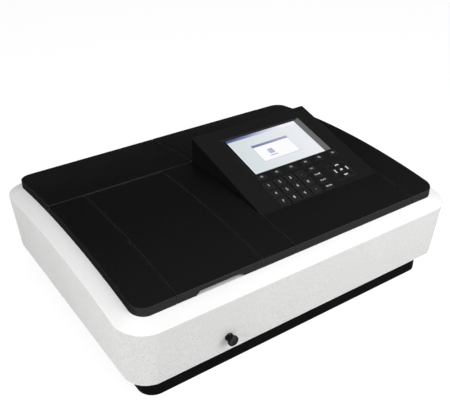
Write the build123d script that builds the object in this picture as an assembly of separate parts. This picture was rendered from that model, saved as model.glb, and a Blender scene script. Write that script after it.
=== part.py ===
"""A double-beam bench spectrophotometer, with its sample compartment, cell changer and keypad.

Millimetres. X runs to the right along the front, Y to the back and Z up. The origin is on the table, under the middle
of the whole instrument, its front knob included. Inside the functions Y counts from the middle of the body, and
save() moves each finished sub-part back by the knob's share. The raised console has a frame of its own: its x is X,
its y climbs the sloping panel from the crease at its foot, and its z stands out of the panel.
"""
from build123d import *
import math
import os

# Arched black top
deck_width = 560.0
deck_depth = 420.0
deck_corner = 22.0
front_height = 163.3
crown_height = 179.7
back_height = 165.7
crown_y = 4.0
lip = 13.9
cover_wall = 3.0
seam = 1.2
slot = 1.8
seam_round = 1.0

# Seams between the covers
left_seam_x = -220.0
lid_right_x = -79.5
console_left_x = -20.5
console_right_x = 223.0
back_seam_y = 71.0

# White moulded body
bevel_out = 23.5
bevel_drop = 11.2
wall_draft = 0.079
body_wall = 3.0
ledge = 12.0
body_bottom = 44.0
flange_thickness = 3.0
flange_in = 16.0

# Black base and what fastens it
foot_height = 3.0
foot_diameter = 26.0
foot_inset = 45.0
base_inset_x = 29.1
base_inset_y = 24.9
base_corner = 24.6
base_wall = 2.5
screw_diameter = 4.0
screw_length = 18.0
screw_head_diameter = 7.6
screw_head_height = 2.6
screw_boss_diameter = 14.0
screw_seat = 8.0
screw_inset = 12.6
pilot_boss_diameter = 9.0
vent_width = 3.2
vent_length = 60.0
vent_pitch = 9.0
vent_count = 9

# Rear connector recess
recess_half_width = 235.0
recess_low = 56.0
recess_high = 132.0
recess_y = 222.0

# Raised console and its screen
tip_y = -131.0
rise_y = 70.0
console_height = 225.3
console_round = 2.5
screen_left = 30.4
screen_right = 180.3
screen_low = 83.0
screen_high = 178.5
screen_slope = 9.2
screen_depth = 4.0
window_lap = 3.0
window_thickness = 1.5
frame_lap = 9.0
frame_depth = 7.0
module_thickness = 7.0

# Keys
key_rise = 2.6
key_travel = 1.2
key_gap = 0.35
key_corner = 1.0
key_draft = 6.0
key_lug = 0.8
key_lug_thickness = 1.2
key_foot = 0.8
board_drop = 7.0
board_thickness = 1.6
dome_diameter = 6.0
dome_height = 0.4
function_key = (16.0, 8.5)
function_first = (30.2, 71.8)
function_pitch = 30.4
function_count = 6
number_key = (17.5, 15.0)
number_first = (28.4, 10.9)
number_pitch = (22.0, 19.7)
number_grid = (4, 3)
side_key = (16.0, 8.5)
side_first = (120.6, 7.9)
side_pitch = 15.3
side_count = 4
pad_centre = (166.4, 30.4)
pad_middle = 10.0
pad_inner = 8.6
pad_outer = 17.9
pad_spread = 0.42

# Lid and its hinge
hinge_radius = 6.0
hinge_rod_diameter = 3.0
knuckle_width = 15.4
knuckle_radius = 3.7
knuckle_offset = 46.0
lid_clearance = 0.3
notch_top = 67.0
notch_bottom = 83.0
notch_height = 5.9

# Sample compartment
tub_half_width = 62.0
tub_front = -185.0
tub_back = 40.0
tub_floor = 60.0
tub_wall = 2.5
rim_reach = 14.0
rim_front = -196.0
rim_back = 82.0
rim_thickness = 3.0
rim_drop = 0.3
sample_y = -80.0
reference_y = 20.0
beam_z = 91.0
window_diameter = 20.0
lens_thickness = 2.0
lens_boss = 28.0
lens_boss_out = 2.0
beam_hole = 14.0
tub_leg_diameter = 14.0

# Cell changer
cell = 12.6
cell_pitch = 20.0
cell_count = 4
holder_width = 24.0
holder_margin = 12.0
holder_top = 110.0
pocket_floor = 76.0
light_slot = (6.0, 14.0)
rail_width = 14.0
rail_top = 66.0
carriage_bottom = 63.0
rail_front = -172.0
rail_back = 2.0
slide_gap = 0.1
rod_diameter = 6.0
rod_z = 71.0
rod_socket = 8.0
pin_gap = 0.05
bush_diameter = 10.0
collar_diameter = 13.0
collar_out = 3.5
spot_depth = 0.6
nut_across = 14.0
nut_thickness = 4.0
knob_diameter = 16.6
knob_neck = 9.6
knob_reach = 12.9
knob_head = 4.8
knob_gap = 0.6

# Optical bench
bench_left = -80.0
bench_right = 150.0
bench_front = -170.0
bench_back = 100.0
bench_bottom = 66.0
bench_plate = 6.0
bench_wall = 4.0
bench_wall_top = 112.0
lamp_wall_y = 12.0
mirror_thickness = 6.0
mirror_high = 36.0
post_thickness = 8.0
turret_diameter = 44.0
turret_place = (80.0, -22.0)
flip_place = (86.0, 48.0)
pivot_diameter = 8.0
pivot_depth = 4.0

# Electrics
board_box = (-130.0, 80.0, 108.0, 217.0)
board_z = 60.0
supply_box = (168.0, 258.0, -150.0, 30.0)
supply_height = 45.0
fan_x = 190.0
fan_z = 94.0
fan_size = 80.0
fan_depth = 25.0
fan_bore = 75.0
fan_hub = 34.0
fan_blades = 7
inlet_x = -195.0
inlet_z = 94.0
inlet_size = (30.0, 62.0)
socket_size = (24.0, 16.4)
socket_z = 80.0
socket_depth = 15.0
rocker_z = 110.0
rocker_size = (14.0, 21.0)
rocker_tilt = 9.0

# Clearances
touch = 0.1
slip = 0.3

half_width = deck_width / 2
half_depth = deck_depth / 2
lid_middle = (left_seam_x + lid_right_x) / 2
plan_width = deck_width + 2 * (bevel_out - base_inset_x)
plan_depth = deck_depth + 2 * (bevel_out - base_inset_y)
base_floor = foot_height + base_wall
bevel_low = front_height - lip - bevel_drop
low_out = bevel_out - wall_draft * (bevel_low - body_bottom)
bench_top = bench_bottom + bench_plate
holder_length = 2 * holder_margin + (cell_count - 1) * cell_pitch


def arch_circle():
    """The centre and radius of the arch through the deck's front edge, crown and back edge."""
    ya, za = -half_depth, front_height
    yb, zb = crown_y, crown_height
    yc, zc = half_depth, back_height
    spread = 2 * (ya * (zb - zc) + yb * (zc - za) + yc * (za - zb))
    a, b, c = ya**2 + za**2, yb**2 + zb**2, yc**2 + zc**2
    y = (a * (zb - zc) + b * (zc - za) + c * (za - zb)) / spread
    z = (a * (yc - yb) + b * (ya - yc) + c * (yb - ya)) / spread
    return y, z, math.hypot(ya - y, za - z)


arch_y, arch_z, arch_radius = arch_circle()


def deck_at(y):
    """Height of the deck's top at a depth."""
    return arch_z + math.sqrt(arch_radius**2 - (y - arch_y) ** 2)


def face_at(z):
    """How far the body's front and back faces lie from its middle at a height."""
    return half_depth + bevel_out - wall_draft * (bevel_low - z)


hinge_y = back_seam_y - seam / 2 - hinge_radius
hinge_z = deck_at(hinge_y) - hinge_radius
knob_front = face_at(rod_z) + knob_reach
back_reach = half_depth + bevel_out
centre_shift = (knob_front - back_reach) / 2

panel_slope = math.atan2(console_height - deck_at(tip_y), rise_y - tip_y)
panel_length = math.hypot(console_height - deck_at(tip_y), rise_y - tip_y)
panel = Plane(
    origin=(0, tip_y, deck_at(tip_y)),
    x_dir=(1, 0, 0),
    z_dir=(0, -math.sin(panel_slope), math.cos(panel_slope)),
)


def save(name, *shapes):
    """Writes one sub-part, moved so that the origin lies under the middle of the whole instrument."""
    moved = [Pos(0, centre_shift, 0) * shape for shape in shapes]
    export_step(moved[0] if len(moved) == 1 else Compound(children=moved), f"parts/{name}.step")


def block(x0, x1, y0, y1, z0, z1):
    """A box between six planes."""
    return Pos((x0 + x1) / 2, (y0 + y1) / 2, (z0 + z1) / 2) * Box(x1 - x0, y1 - y0, z1 - z0)


def panel_block(x0, x1, y0, y1, z0, z1):
    """A box between six planes of the console panel's own frame."""
    return panel.location * block(x0, x1, y0, y1, z0, z1)


def upright(x, y, z0, z1, diameter):
    """An upright cylinder."""
    return Pos(x, y, (z0 + z1) / 2) * Cylinder(diameter / 2, z1 - z0)


def along_y(x, z, y0, y1, diameter):
    """A cylinder that runs from front to back."""
    return Pos(x, (y0 + y1) / 2, z) * Rot(90, 0, 0) * Cylinder(diameter / 2, y1 - y0)


def along_x(y, z, x0, x1, diameter):
    """A cylinder that runs from left to right."""
    return Pos((x0 + x1) / 2, y, z) * Rot(0, 90, 0) * Cylinder(diameter / 2, x1 - x0)


def side_prism(points, x0, x1):
    """An outline of (y, z) points, extruded from x0 to x1."""
    face = make_face(Plane.YZ * Polyline(*points, close=True))
    return Pos(x0, 0, 0) * extrude(face, x1 - x0, dir=(1, 0, 0))


def under_arch(drop):
    """All the space below the arch, once the arch is lowered by a drop."""
    reach = half_depth + 40
    front, back = (-reach, deck_at(-reach) - drop), (reach, deck_at(reach) - drop)
    outline = ThreePointArc(front, (crown_y, deck_at(crown_y) - drop), back)
    outline += Polyline(back, (reach, 0), (-reach, 0), front)
    return extrude(make_face(Plane.YZ * outline), half_width + 40, both=True)


def rounded_column(width, depth, corner, bottom=0.0, top=400.0):
    """An upright column with a rounded rectangle for its plan."""
    return Pos(0, 0, bottom) * extrude(RectangleRounded(width, depth, corner), top - bottom)


def rim_curve(out, height):
    """Eight edges round the deck's outline, moved out from it; height gives z from the depth on that outline."""
    run_x, run_y = half_width - deck_corner, half_depth - deck_corner

    def at(sx, sy, degrees):
        turn = math.radians(degrees)
        reach = deck_corner + out
        z = height(sy * run_y + deck_corner * math.sin(turn))
        return Vector(sx * run_x + reach * math.cos(turn), sy * run_y + reach * math.sin(turn), z)

    corners = []
    for sx, sy, first in ((1, -1, -90), (1, 1, 0), (-1, 1, 90), (-1, -1, 180)):
        points = [at(sx, sy, first + 15 * step) for step in range(7)]
        starts = at(sx, sy, first + 0.05) - at(sx, sy, first - 0.05)
        ends = at(sx, sy, first + 90.05) - at(sx, sy, first + 89.95)
        corners.append((points[0], Spline(*points, tangents=[starts, ends]), points[-1]))
    edges = []
    for k, (first, corner, _) in enumerate(corners):
        last = corners[k - 1][2]
        if k % 2 and abs(height(0) - last.Z) > touch:
            edges.append(ThreePointArc(last, (last.X, crown_y, height(crown_y)), first))
        else:
            edges.append(Line(last, first))
        edges.append(corner)
    return [Edge(e.wrapped) for e in edges]


def swept_wall():
    """The body's wall: ruled skins between outlines that follow the arch above and lie flat below."""
    def arched(drop):
        return lambda y: deck_at(y) - lip - drop

    def flat(z):
        return lambda y: z

    flange_top = body_bottom + flange_thickness
    section = [
        (-ledge, arched(0)), (0, arched(0)), (bevel_out, arched(bevel_drop)), (low_out, flat(body_bottom)),
        (-flange_in, flat(body_bottom)), (-flange_in, flat(flange_top)), (low_out - body_wall, flat(flange_top)),
        (bevel_out - body_wall, arched(bevel_drop + body_wall)), (0, arched(body_wall)), (-ledge, arched(body_wall)),
    ]
    rims = [rim_curve(out, height) for out, height in section]
    skins = [Face.make_surface_from_curves(a, b) for k in range(len(rims)) for a, b in zip(rims[k - 1], rims[k])]
    return Solid(Shell(skins))


def case_boss_places():
    """The four case screws, in the base's corners, under the body's flange."""
    x, y = plan_width / 2 - screw_inset, plan_depth / 2 - screw_inset
    return [(sx * x, sy * y) for sx in (-1, 1) for sy in (-1, 1)]


def foot_places():
    """The four feet, each further in than a case screw."""
    x, y = plan_width / 2 - foot_inset - foot_diameter, plan_depth / 2 - foot_inset
    return [(sx * x, sy * y) for sx in (-1, 1) for sy in (-1, 1)]


def tub_leg_places():
    """The legs of the sample compartment."""
    x, inset = tub_half_width - tub_leg_diameter / 2, tub_leg_diameter
    return [(lid_middle + sx * x, y) for sx in (-1, 1) for y in (tub_front + inset, tub_back - inset)]


def board_leg_places():
    """The posts under the main board."""
    x0, x1, y0, _ = board_box
    return [(x, y) for x in (x0 + 10, x1 - 10) for y in (y0 + 8, y0 + 76)]


def bench_leg_places():
    """The legs of the optical bench."""
    inset = 12
    return [(x, y) for x in (bench_left + inset, bench_right - inset) for y in (bench_front + inset, bench_back - inset)]


def base_pan():
    """The black base: an open pan with air slots, screw seats and posts for the main board."""
    outer = rounded_column(plan_width, plan_depth, base_corner, foot_height, body_bottom)
    inner = rounded_column(
        plan_width - 2 * base_wall, plan_depth - 2 * base_wall, base_corner - base_wall, base_floor, body_bottom
    )
    pan = outer - inner
    for x, y in case_boss_places():
        pan += upright(x, y, foot_height, foot_height + screw_seat, screw_boss_diameter) & outer
        pan -= upright(x, y, foot_height, foot_height + screw_head_height + slip, screw_head_diameter + 2 * slip)
        pan -= upright(x, y, foot_height, foot_height + screw_seat, screw_diameter + 2 * touch)
    for x, y in board_leg_places():
        pan += upright(x, y, foot_height, board_z, 8)
    slots = range(vent_count)
    start = -(vent_count - 1) / 2
    for centre in (-150, 110):
        for k in slots:
            x = centre + (start + k) * vent_pitch
            pan -= Pos(x, 60, base_floor) * Box(vent_width, vent_length, 2 * base_wall)
    return pan


def rubber_feet():
    """Four round rubber feet under the base."""
    foot = chamfer(Cylinder(foot_diameter / 2, foot_height).edges().sort_by(Axis.Z)[0], 0.8)
    return [Pos(x, y, foot_height / 2) * foot for x, y in foot_places()]


def case_screws():
    """The screws that hold the base pan to the white body, driven from below."""
    head_z = foot_height + screw_head_height
    screws = []
    for x, y in case_boss_places():
        head = upright(x, y, foot_height + touch, head_z, screw_head_diameter)
        screws.append(head + upright(x, y, head_z, head_z + screw_length, screw_diameter))
    return screws


def fan_grille():
    """Upright air slots that fill a circle in front of the fan."""
    radius = fan_bore / 2 - 2
    pitch, width = 7.5, 4.0
    rows = int(radius // pitch)
    cuts = []
    for k in range(-rows, rows + 1):
        half = math.sqrt(radius**2 - (k * pitch) ** 2)
        cuts.append(Pos(fan_x + k * pitch, recess_y - body_wall / 2, fan_z) * Box(width, 2 * body_wall, 2 * half))
    return cuts


def port_places():
    """The middle, width and height of each connector on the main board's rear edge."""
    return [(-104.0, 31.0, 12.5), (-62.0, 13.0, 11.0), (-36.0, 13.0, 11.0), (10.0, 53.0, 12.5)]


def nut_seat():
    """The depth of the flat pad inside the front wall that the bush's nut is tightened on."""
    return -face_at(rod_z) + body_wall + 1


def body_shell():
    """The white moulded body, with the connector recess in its back and a seat for the rod's bush in its front."""
    shell = swept_wall()
    margin = body_wall
    low, high = recess_low - margin, recess_high + margin
    rim = [(recess_y - margin, low), (recess_y - margin, high)]
    rim += [(face_at(z) + back_height - front_height - 1.5, z) for z in (high, low)]
    shell += side_prism(rim, -recess_half_width - margin, recess_half_width + margin)
    shell -= block(-recess_half_width, recess_half_width, recess_y, recess_y + 40, recess_low, recess_high)
    for cut in fan_grille():
        shell -= cut
    inlet_w, inlet_h = inlet_size[0] - 4, inlet_size[1] - 6
    shell -= Pos(inlet_x, recess_y, inlet_z) * Box(inlet_w, 4 * body_wall, inlet_h)
    port_low = board_z + board_thickness
    for x, width, height in port_places():
        shell -= Pos(x, recess_y, port_low + height / 2) * Box(width + 1, 4 * body_wall, height + 1)
    front = -face_at(rod_z)
    shell += along_y(lid_middle, rod_z, front + spot_depth, nut_seat(), nut_across + 4)
    shell -= along_y(lid_middle, rod_z, front - 10, front + spot_depth, collar_diameter + 2 * slip)
    shell -= along_y(lid_middle, rod_z, front - 10, nut_seat() + 1, bush_diameter + 2 * touch)
    for x, y in case_boss_places():
        boss = upright(x, y, foot_height + screw_seat, body_bottom + flange_thickness, pilot_boss_diameter)
        hole = upright(x, y, foot_height + screw_seat, foot_height + screw_length + 2 * screw_seat, screw_diameter + 2 * touch)
        shell += boss
        shell -= hole
    return shell


def cover(x0, x1, y0, y1, drop=0.0, extra=None, extra_inner=None):
    """One tray of the arched top: a skin with walls round it, all cut from the same arched slab."""
    outline = rounded_column(deck_width, deck_depth, deck_corner)
    inner_outline = rounded_column(deck_width - 2 * cover_wall, deck_depth - 2 * cover_wall, deck_corner - cover_wall)
    slab = under_arch(0) - under_arch(lip - drop)
    tray = slab & outline & block(x0, x1, y0, y1, 0, 400)
    hollow = under_arch(cover_wall) & inner_outline
    hollow &= block(x0 + cover_wall, x1 - cover_wall, y0 + cover_wall, y1 - cover_wall, 0, 400)
    return tray, hollow


def soften(shape, radius):
    """Rounds a tray's top edges, which are those that bound its arched face."""
    top = shape.faces().sort_by(Axis.Z)[-1]
    return fillet(top.outer_wire().edges(), radius)


def plain_cover(x0, x1, y0, y1):
    """A fixed cover with softened top edges."""
    tray, hollow = cover(x0, x1, y0, y1)
    return soften(tray, seam_round) - hollow


def sample_lid():
    """The hinged lid, with a finger notch in its front lip and a rounded barrel along its back."""
    x0, x1 = left_seam_x + seam / 2, lid_right_x - seam / 2
    y1 = back_seam_y - seam / 2
    tray, hollow = cover(x0, x1, -half_depth, y1, drop=lid_clearance)
    lid = tray - block(x0 - 1, x1 + 1, hinge_y, y1 + 1, 0, 400)
    barrel = along_x(hinge_y, hinge_z, x0, x1, 2 * hinge_radius)
    lid = lid - (hollow - block(x0, x1, hinge_y - hinge_radius - cover_wall, y1, 0, 400)) + barrel
    lid -= block(x0 + cover_wall, x1 - cover_wall, hinge_y - hinge_radius - cover_wall - 1, hinge_y, 0, hinge_z - hinge_radius)
    notch_low = front_height - lip - 1
    notch = Plane.XZ * Polyline(
        (lid_middle - notch_bottom / 2, notch_low), (lid_middle - notch_top / 2, notch_low + 1 + notch_height),
        (lid_middle + notch_top / 2, notch_low + 1 + notch_height), (lid_middle + notch_bottom / 2, notch_low), close=True,
    )
    lid -= Pos(0, -half_depth + 2 * cover_wall, 0) * extrude(make_face(notch), 4 * cover_wall, dir=(0, -1, 0))
    for side in (-1, 1):
        x = lid_middle + side * knuckle_offset
        half = knuckle_width / 2 + slip
        clear = knuckle_radius + 2 * slip
        lid -= along_x(hinge_y, hinge_z, x - half, x + half, 2 * clear)
        lid -= block(x - half, x + half, hinge_y - 3 * hinge_radius, y1 + 1, hinge_z - 2 * hinge_radius, hinge_z)
    reach = (x1 - x0) / 2 - cover_wall
    lid -= along_x(hinge_y, hinge_z, lid_middle - reach, lid_middle + reach, hinge_rod_diameter + 2 * pin_gap)
    return lid


def lid_hinge_rod():
    """The steel rod that the lid turns on."""
    reach = (lid_right_x - left_seam_x - seam) / 2 - cover_wall - slip
    return along_x(hinge_y, hinge_z, lid_middle - reach, lid_middle + reach, hinge_rod_diameter)


def hinge_arm():
    """The (y, z) outline of an arm from the compartment's rim up to the hinge rod, clear of the open lid."""
    foot_y = hinge_y - 10
    foot = [(y, deck_at(y) - lip - rim_drop - 1) for y in (foot_y, foot_y + 8)]
    return foot + [(hinge_y, hinge_z - knuckle_radius), (hinge_y, hinge_z + knuckle_radius)]


def compartment_rim():
    """The frame under the lid: a curved plate round the tub's mouth, with two arms that hold the hinge rod."""
    x0, x1 = lid_middle - tub_half_width, lid_middle + tub_half_width
    plate = under_arch(lip + rim_drop) - under_arch(lip + rim_drop + rim_thickness)
    rim = plate & block(x0 - rim_reach, x1 + rim_reach, rim_front, rim_back, 0, 400)
    rim -= block(x0, x1, tub_front, tub_back, tub_floor, 400)
    for side in (-1, 1):
        x = lid_middle + side * knuckle_offset
        half = knuckle_width / 2
        rim += side_prism(hinge_arm(), x - half, x + half)
        rim += along_x(hinge_y, hinge_z, x - half, x + half, 2 * knuckle_radius)
        rim -= along_x(hinge_y, hinge_z, x - half, x + half, hinge_rod_diameter + 2 * pin_gap)
    return rim


def sample_tub():
    """The sample compartment's tub, with seats for the lenses of its two beams and four legs."""
    x0, x1 = lid_middle - tub_half_width, lid_middle + tub_half_width
    y0, y1, w = tub_front, tub_back, tub_wall
    under_rim = under_arch(lip + rim_drop + rim_thickness + touch)
    tub = block(x0 - w, x1 + w, y0 - w, y1 + w, tub_floor - w, 400) & under_rim
    tub -= block(x0, x1, y0, y1, tub_floor, 400)
    for x, y in tub_leg_places():
        tub += upright(x, y, base_floor, tub_floor - w, tub_leg_diameter)
    for y in (sample_y, reference_y):
        tub += along_x(y, beam_z, x0 - w - lens_boss_out, x0, lens_boss)
        tub += along_x(y, beam_z, x1, x1 + w + lens_boss_out, lens_boss)
        tub -= along_x(y, beam_z, x0 - 10, x1 + 10, beam_hole)
        reach = tub_half_width + lens_thickness + touch
        tub -= along_x(y, beam_z, lid_middle - reach, lid_middle + reach, window_diameter + 2 * touch)
    return tub - along_y(lid_middle, rod_z, y0 - 5, y0 + 5, rod_diameter + 4 * slip)


def changer_rail():
    """The rail on the tub's floor that the cell carriage slides along."""
    half = rail_width / 2
    return block(lid_middle - half, lid_middle + half, rail_front, rail_back, tub_floor, rail_top)


def beam_windows():
    """The four lenses where the two beams enter and leave the compartment."""
    lenses = []
    for y in (sample_y, reference_y):
        for side in (-1, 1):
            edge = lid_middle + side * tub_half_width
            inner, outer = sorted((edge, edge + side * lens_thickness))
            lenses.append(along_x(y, beam_z, inner, outer, window_diameter))
    return lenses


def holder_block(y0, y1, bottom, cells):
    """A block with a square pocket and a light slot for each cell."""
    half = holder_width / 2
    holder = block(lid_middle - half, lid_middle + half, y0, y1, bottom, holder_top)
    holder = fillet(holder.edges().filter_by(Axis.Z), 2)
    for y in cells:
        holder -= Pos(lid_middle, y, (pocket_floor + holder_top) / 2) * Box(cell, cell, holder_top - pocket_floor)
        holder -= Pos(lid_middle, y, beam_z) * Box(2 * holder_width, *light_slot)
    return holder


def carriage_cells():
    """Where the carriage's cells stand at rest, pushed in, with the front one in the beam."""
    return [sample_y + k * cell_pitch for k in range(cell_count)]


def cell_carriage():
    """The sliding cell holder, grooved below for its rail and bored for the pull rod."""
    y0 = sample_y - holder_margin
    carriage = holder_block(y0, y0 + holder_length, carriage_bottom, carriage_cells())
    half = rail_width / 2 + slide_gap
    carriage -= block(lid_middle - half, lid_middle + half, y0 - 1, y0 + holder_length + 1, 0, rail_top + slide_gap)
    return carriage - along_y(lid_middle, rod_z, y0 - 1, y0 + rod_socket, rod_diameter + 2 * pin_gap)


def reference_holder():
    """The fixed holder for the reference cell."""
    return holder_block(reference_y - holder_margin, reference_y + holder_margin, tub_floor, [reference_y])


def changer_rod():
    """The steel rod from the carriage out through the front."""
    return along_y(lid_middle, rod_z, -knob_front + 3, sample_y - holder_margin + rod_socket - touch, rod_diameter)


def turned(points, x, z):
    """A body of revolution about an axis from front to back, from (radius, y) points."""
    face = make_face(Plane.XY * Polyline(*points, close=True))
    return Pos(x, 0, z) * revolve(face, Axis.Y, 360)


def rod_bush():
    """The collar that guides the rod through the front face, and the nut that holds it inside."""
    seat = -face_at(rod_z) + spot_depth
    front = -face_at(rod_z) - collar_out
    inner = nut_seat() + nut_thickness + 2
    bore, barrel, collar = rod_diameter / 2 + pin_gap, bush_diameter / 2, collar_diameter / 2
    points = [
        (bore, front), (collar - 0.8, front), (collar, front + 0.8), (collar, seat),
        (barrel, seat), (barrel, inner), (bore, inner),
    ]
    hexagon = RegularPolygon(nut_across / 2, 6, major_radius=False)
    nut = Pos(lid_middle, nut_seat(), rod_z) * Rot(-90, 0, 0) * extrude(hexagon, nut_thickness)
    nut -= along_y(lid_middle, rod_z, nut_seat() - 1, nut_seat() + nut_thickness + 1, bush_diameter + 2 * touch)
    return [turned(points, lid_middle, rod_z), nut]


def pull_knob():
    """The black knob on the rod's end, with a waisted neck and a dished face."""
    front = -knob_front
    back = -face_at(rod_z) - collar_out - knob_gap
    bore, neck, head = rod_diameter / 2 + pin_gap, knob_neck / 2, knob_diameter / 2
    points = [
        (0, front + 0.9), (head - 3.4, front + 0.4), (head - 2.2, front), (head - 0.9, front), (head, front + 0.9),
        (head, front + knob_head - 0.9), (head - 0.9, front + knob_head), (neck + 0.4, front + knob_head + 1.2),
        (neck - 0.5, (front + knob_head + back) / 2), (neck, back), (bore, back), (bore, front + 3 - touch), (0, front + 3 - touch),
    ]
    return turned(points, lid_middle, rod_z)


def wedge(lift, x0, x1, back):
    """The console's raised wedge; lift moves its slope along the panel's normal."""
    dy, dz = -math.sin(panel_slope) * lift, math.cos(panel_slope) * lift
    run = math.cos(panel_slope), math.sin(panel_slope)
    foot = (tip_y + dy - 30 * run[0], deck_at(tip_y) + dz - 30 * run[1])
    top = (tip_y + dy + 2 * panel_length * run[0], deck_at(tip_y) + dz + 2 * panel_length * run[1])
    prism = side_prism([foot, top, (top[0], 100), (foot[0], 100)], x0, x1)
    return prism & block(x0, x1, tip_y - 30, back, 100, 400)


def key_layout():
    """Each key's name, its place on the panel and its outline size, from the function row to the arrow pad."""
    keys = []
    for k in range(function_count):
        keys.append((f"function_key_{k + 1}", function_first[0] + k * function_pitch, function_first[1], function_key))
    columns, rows = number_grid
    for k in range(columns * rows):
        x = number_first[0] + (k % columns) * number_pitch[0]
        y = number_first[1] + (rows - 1 - k // columns) * number_pitch[1]
        keys.append((f"number_key_{k + 1}", x, y, number_key))
    for k in range(side_count):
        keys.append((f"side_key_{k + 1}", side_first[0], side_first[1] + (side_count - 1 - k) * side_pitch, side_key))
    keys.append(("pad_key_middle", *pad_centre, (pad_middle, pad_middle)))
    return keys


def arrow_names():
    """The arrow keys and the turn of each about the pad's centre."""
    return {"pad_key_up": 0, "pad_key_left": 90, "pad_key_down": 180, "pad_key_right": 270}


def key_outline(size, grow):
    """A key's rounded outline, grown all round."""
    return RectangleRounded(size[0] + 2 * grow, size[1] + 2 * grow, key_corner + max(grow, 0))


def arrow_outline(grow):
    """An arrow key's outline: a quarter of the pad, wider outside than inside, grown all round."""
    inner, outer = pad_inner - grow, pad_outer + grow
    half_in, half_out = inner * pad_spread + grow * 1.5, outer * pad_spread + grow
    corners = [(-half_in, inner), (half_in, inner), (half_out, outer), (-half_out, outer)]
    face = make_face(Polyline(*corners, close=True))
    return fillet(face.vertices(), key_corner + max(grow, 0))


def key_shapes():
    """Every key: a drafted cap above the panel, a stem through it, and a lug below that keeps it in."""
    def build(outline):
        skin = cover_wall
        cap = extrude(outline(0), key_rise, taper=key_draft)
        stem = Pos(0, 0, -skin - slip) * extrude(outline(0), skin + slip)
        lug = Pos(0, 0, -skin - slip - key_lug_thickness) * extrude(outline(key_lug), key_lug_thickness)
        foot = Pos(0, 0, -skin - slip - key_lug_thickness - key_foot) * extrude(outline(-1.5), key_foot)
        return cap + stem + lug + foot

    shapes = {}
    for name, x, y, size in key_layout():
        shapes[name] = panel.location * Pos(x, y, 0) * build(lambda grow, size=size: key_outline(size, grow))
    for name, turn in arrow_names().items():
        shapes[name] = panel.location * Pos(*pad_centre, 0) * Rot(0, 0, turn) * build(arrow_outline)
    return shapes


def key_holes():
    """The openings in the panel that the keys stand in."""
    deep = 2 * cover_wall
    holes = []
    for _, x, y, size in key_layout():
        holes.append(panel.location * Pos(x, y, -deep) * extrude(key_outline(size, key_gap), 2 * deep))
    for turn in arrow_names().values():
        hole = extrude(arrow_outline(key_gap), 2 * deep)
        holes.append(panel.location * Pos(*pad_centre, -deep) * Rot(0, 0, turn) * hole)
    return holes


def console_cover():
    """The cover that rises into the console: screen recess, key openings and bosses for what hangs below."""
    x0, x1 = console_left_x + seam / 2, console_right_x - slot / 2
    tray, hollow = cover(x0, x1, -half_depth, half_depth)
    body = tray + (wedge(0, x0, x1, rise_y) - under_arch(lip))
    crest = body.edges().filter_by(lambda e: e.center().Z > crown_height + 2 and e.length > panel_length / 2)
    crest = crest.filter_by(lambda e: abs(panel.to_local_coords(e.center()).Z) < touch)
    body = fillet(crest, console_round)
    body -= hollow
    body -= wedge(-cover_wall, x0 + cover_wall, x1 - cover_wall, rise_y - cover_wall)
    pad = (screen_left - frame_lap, screen_right + frame_lap, screen_low - frame_lap / 2, screen_high + frame_lap / 2)
    body += panel_block(*pad, -frame_depth, -cover_wall)
    ends = (screen_low, screen_high)
    well = Plane.XZ * Polyline(
        (screen_left, -screen_depth), (screen_left - screen_slope, 0), (screen_left - screen_slope, 1),
        (screen_right + screen_slope, 1), (screen_right + screen_slope, 0), (screen_right, -screen_depth), close=True,
    )
    body -= panel.location * Pos(0, ends[1], 0) * extrude(make_face(well), ends[1] - ends[0], dir=(0, -1, 0))
    body -= panel_block(screen_left, screen_right, *ends, -frame_depth - 1, -screen_depth + touch)
    glass = window_area(slip)
    body -= panel_block(*glass, -frame_depth - 1, -screen_depth)
    for hole in key_holes():
        body -= hole
    for x, y in boss_places():
        body += panel.location * Pos(x, y, -(cover_wall + board_drop) / 2) * Cylinder(2.5, board_drop - cover_wall)
    return body


def boss_places():
    """Where the keypad board is screwed to the cover, on the panel."""
    left, right = function_first[0] - 13, pad_centre[0] + 24
    return [(left, 60.6), (right, 60.6), (left, 20.6), (right, 20.6), (136.5, 40.6)]


def window_area(gap):
    """The glass's outline on the panel, with a gap added all round."""
    lap = window_lap + gap
    return screen_left - lap, screen_right + lap, screen_low - lap, screen_high + lap


def display_window():
    """The clear window over the screen."""
    return panel_block(*window_area(0), -screen_depth - window_thickness, -screen_depth)


def display_module():
    """The liquid crystal display, stepped so that its front reaches the window."""
    front = -screen_depth - window_thickness
    module = panel_block(*window_area(0), -frame_depth, front)
    lap = window_lap + 3
    area = (screen_left - lap, screen_right + lap, screen_low - lap, screen_high + lap)
    return module + panel_block(*area, -frame_depth - module_thickness, -frame_depth)


def keypad_board():
    """The switch board under the keys, with a dome under each."""
    low = -board_drop - board_thickness
    board = panel_block(function_first[0] - 17, pad_centre[0] + 28, 2, screen_low - 8, low, -board_drop)
    places = [(x, y) for _, x, y, _ in key_layout()]
    middle = (pad_inner + pad_outer) / 2
    for turn in arrow_names().values():
        a = math.radians(turn + 90)
        places.append((pad_centre[0] + middle * math.cos(a), pad_centre[1] + middle * math.sin(a)))
    for x, y in places:
        board += panel.location * Pos(x, y, -board_drop + dome_height / 2) * Cylinder(dome_diameter / 2, dome_height)
    return board


def mirror_list():
    """Each mirror on the bench: its place, the turn of its face about Z, and its width."""
    return [
        (-50.0, sample_y, 45.0, 26.0), (-50.0, reference_y, 225.0, 26.0), (30.0, bench_front + 22, 90.0, 40.0),
        (112.0, bench_front + 22, 90.0, 40.0), (0.0, -50.0, 200.0, 26.0),
    ]


def at_mirror(x, y, turn, shape):
    """Places a shape whose face looks along its own +X at a mirror's place."""
    return Pos(x, y, 0) * Rot(0, 0, turn) * shape


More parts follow.
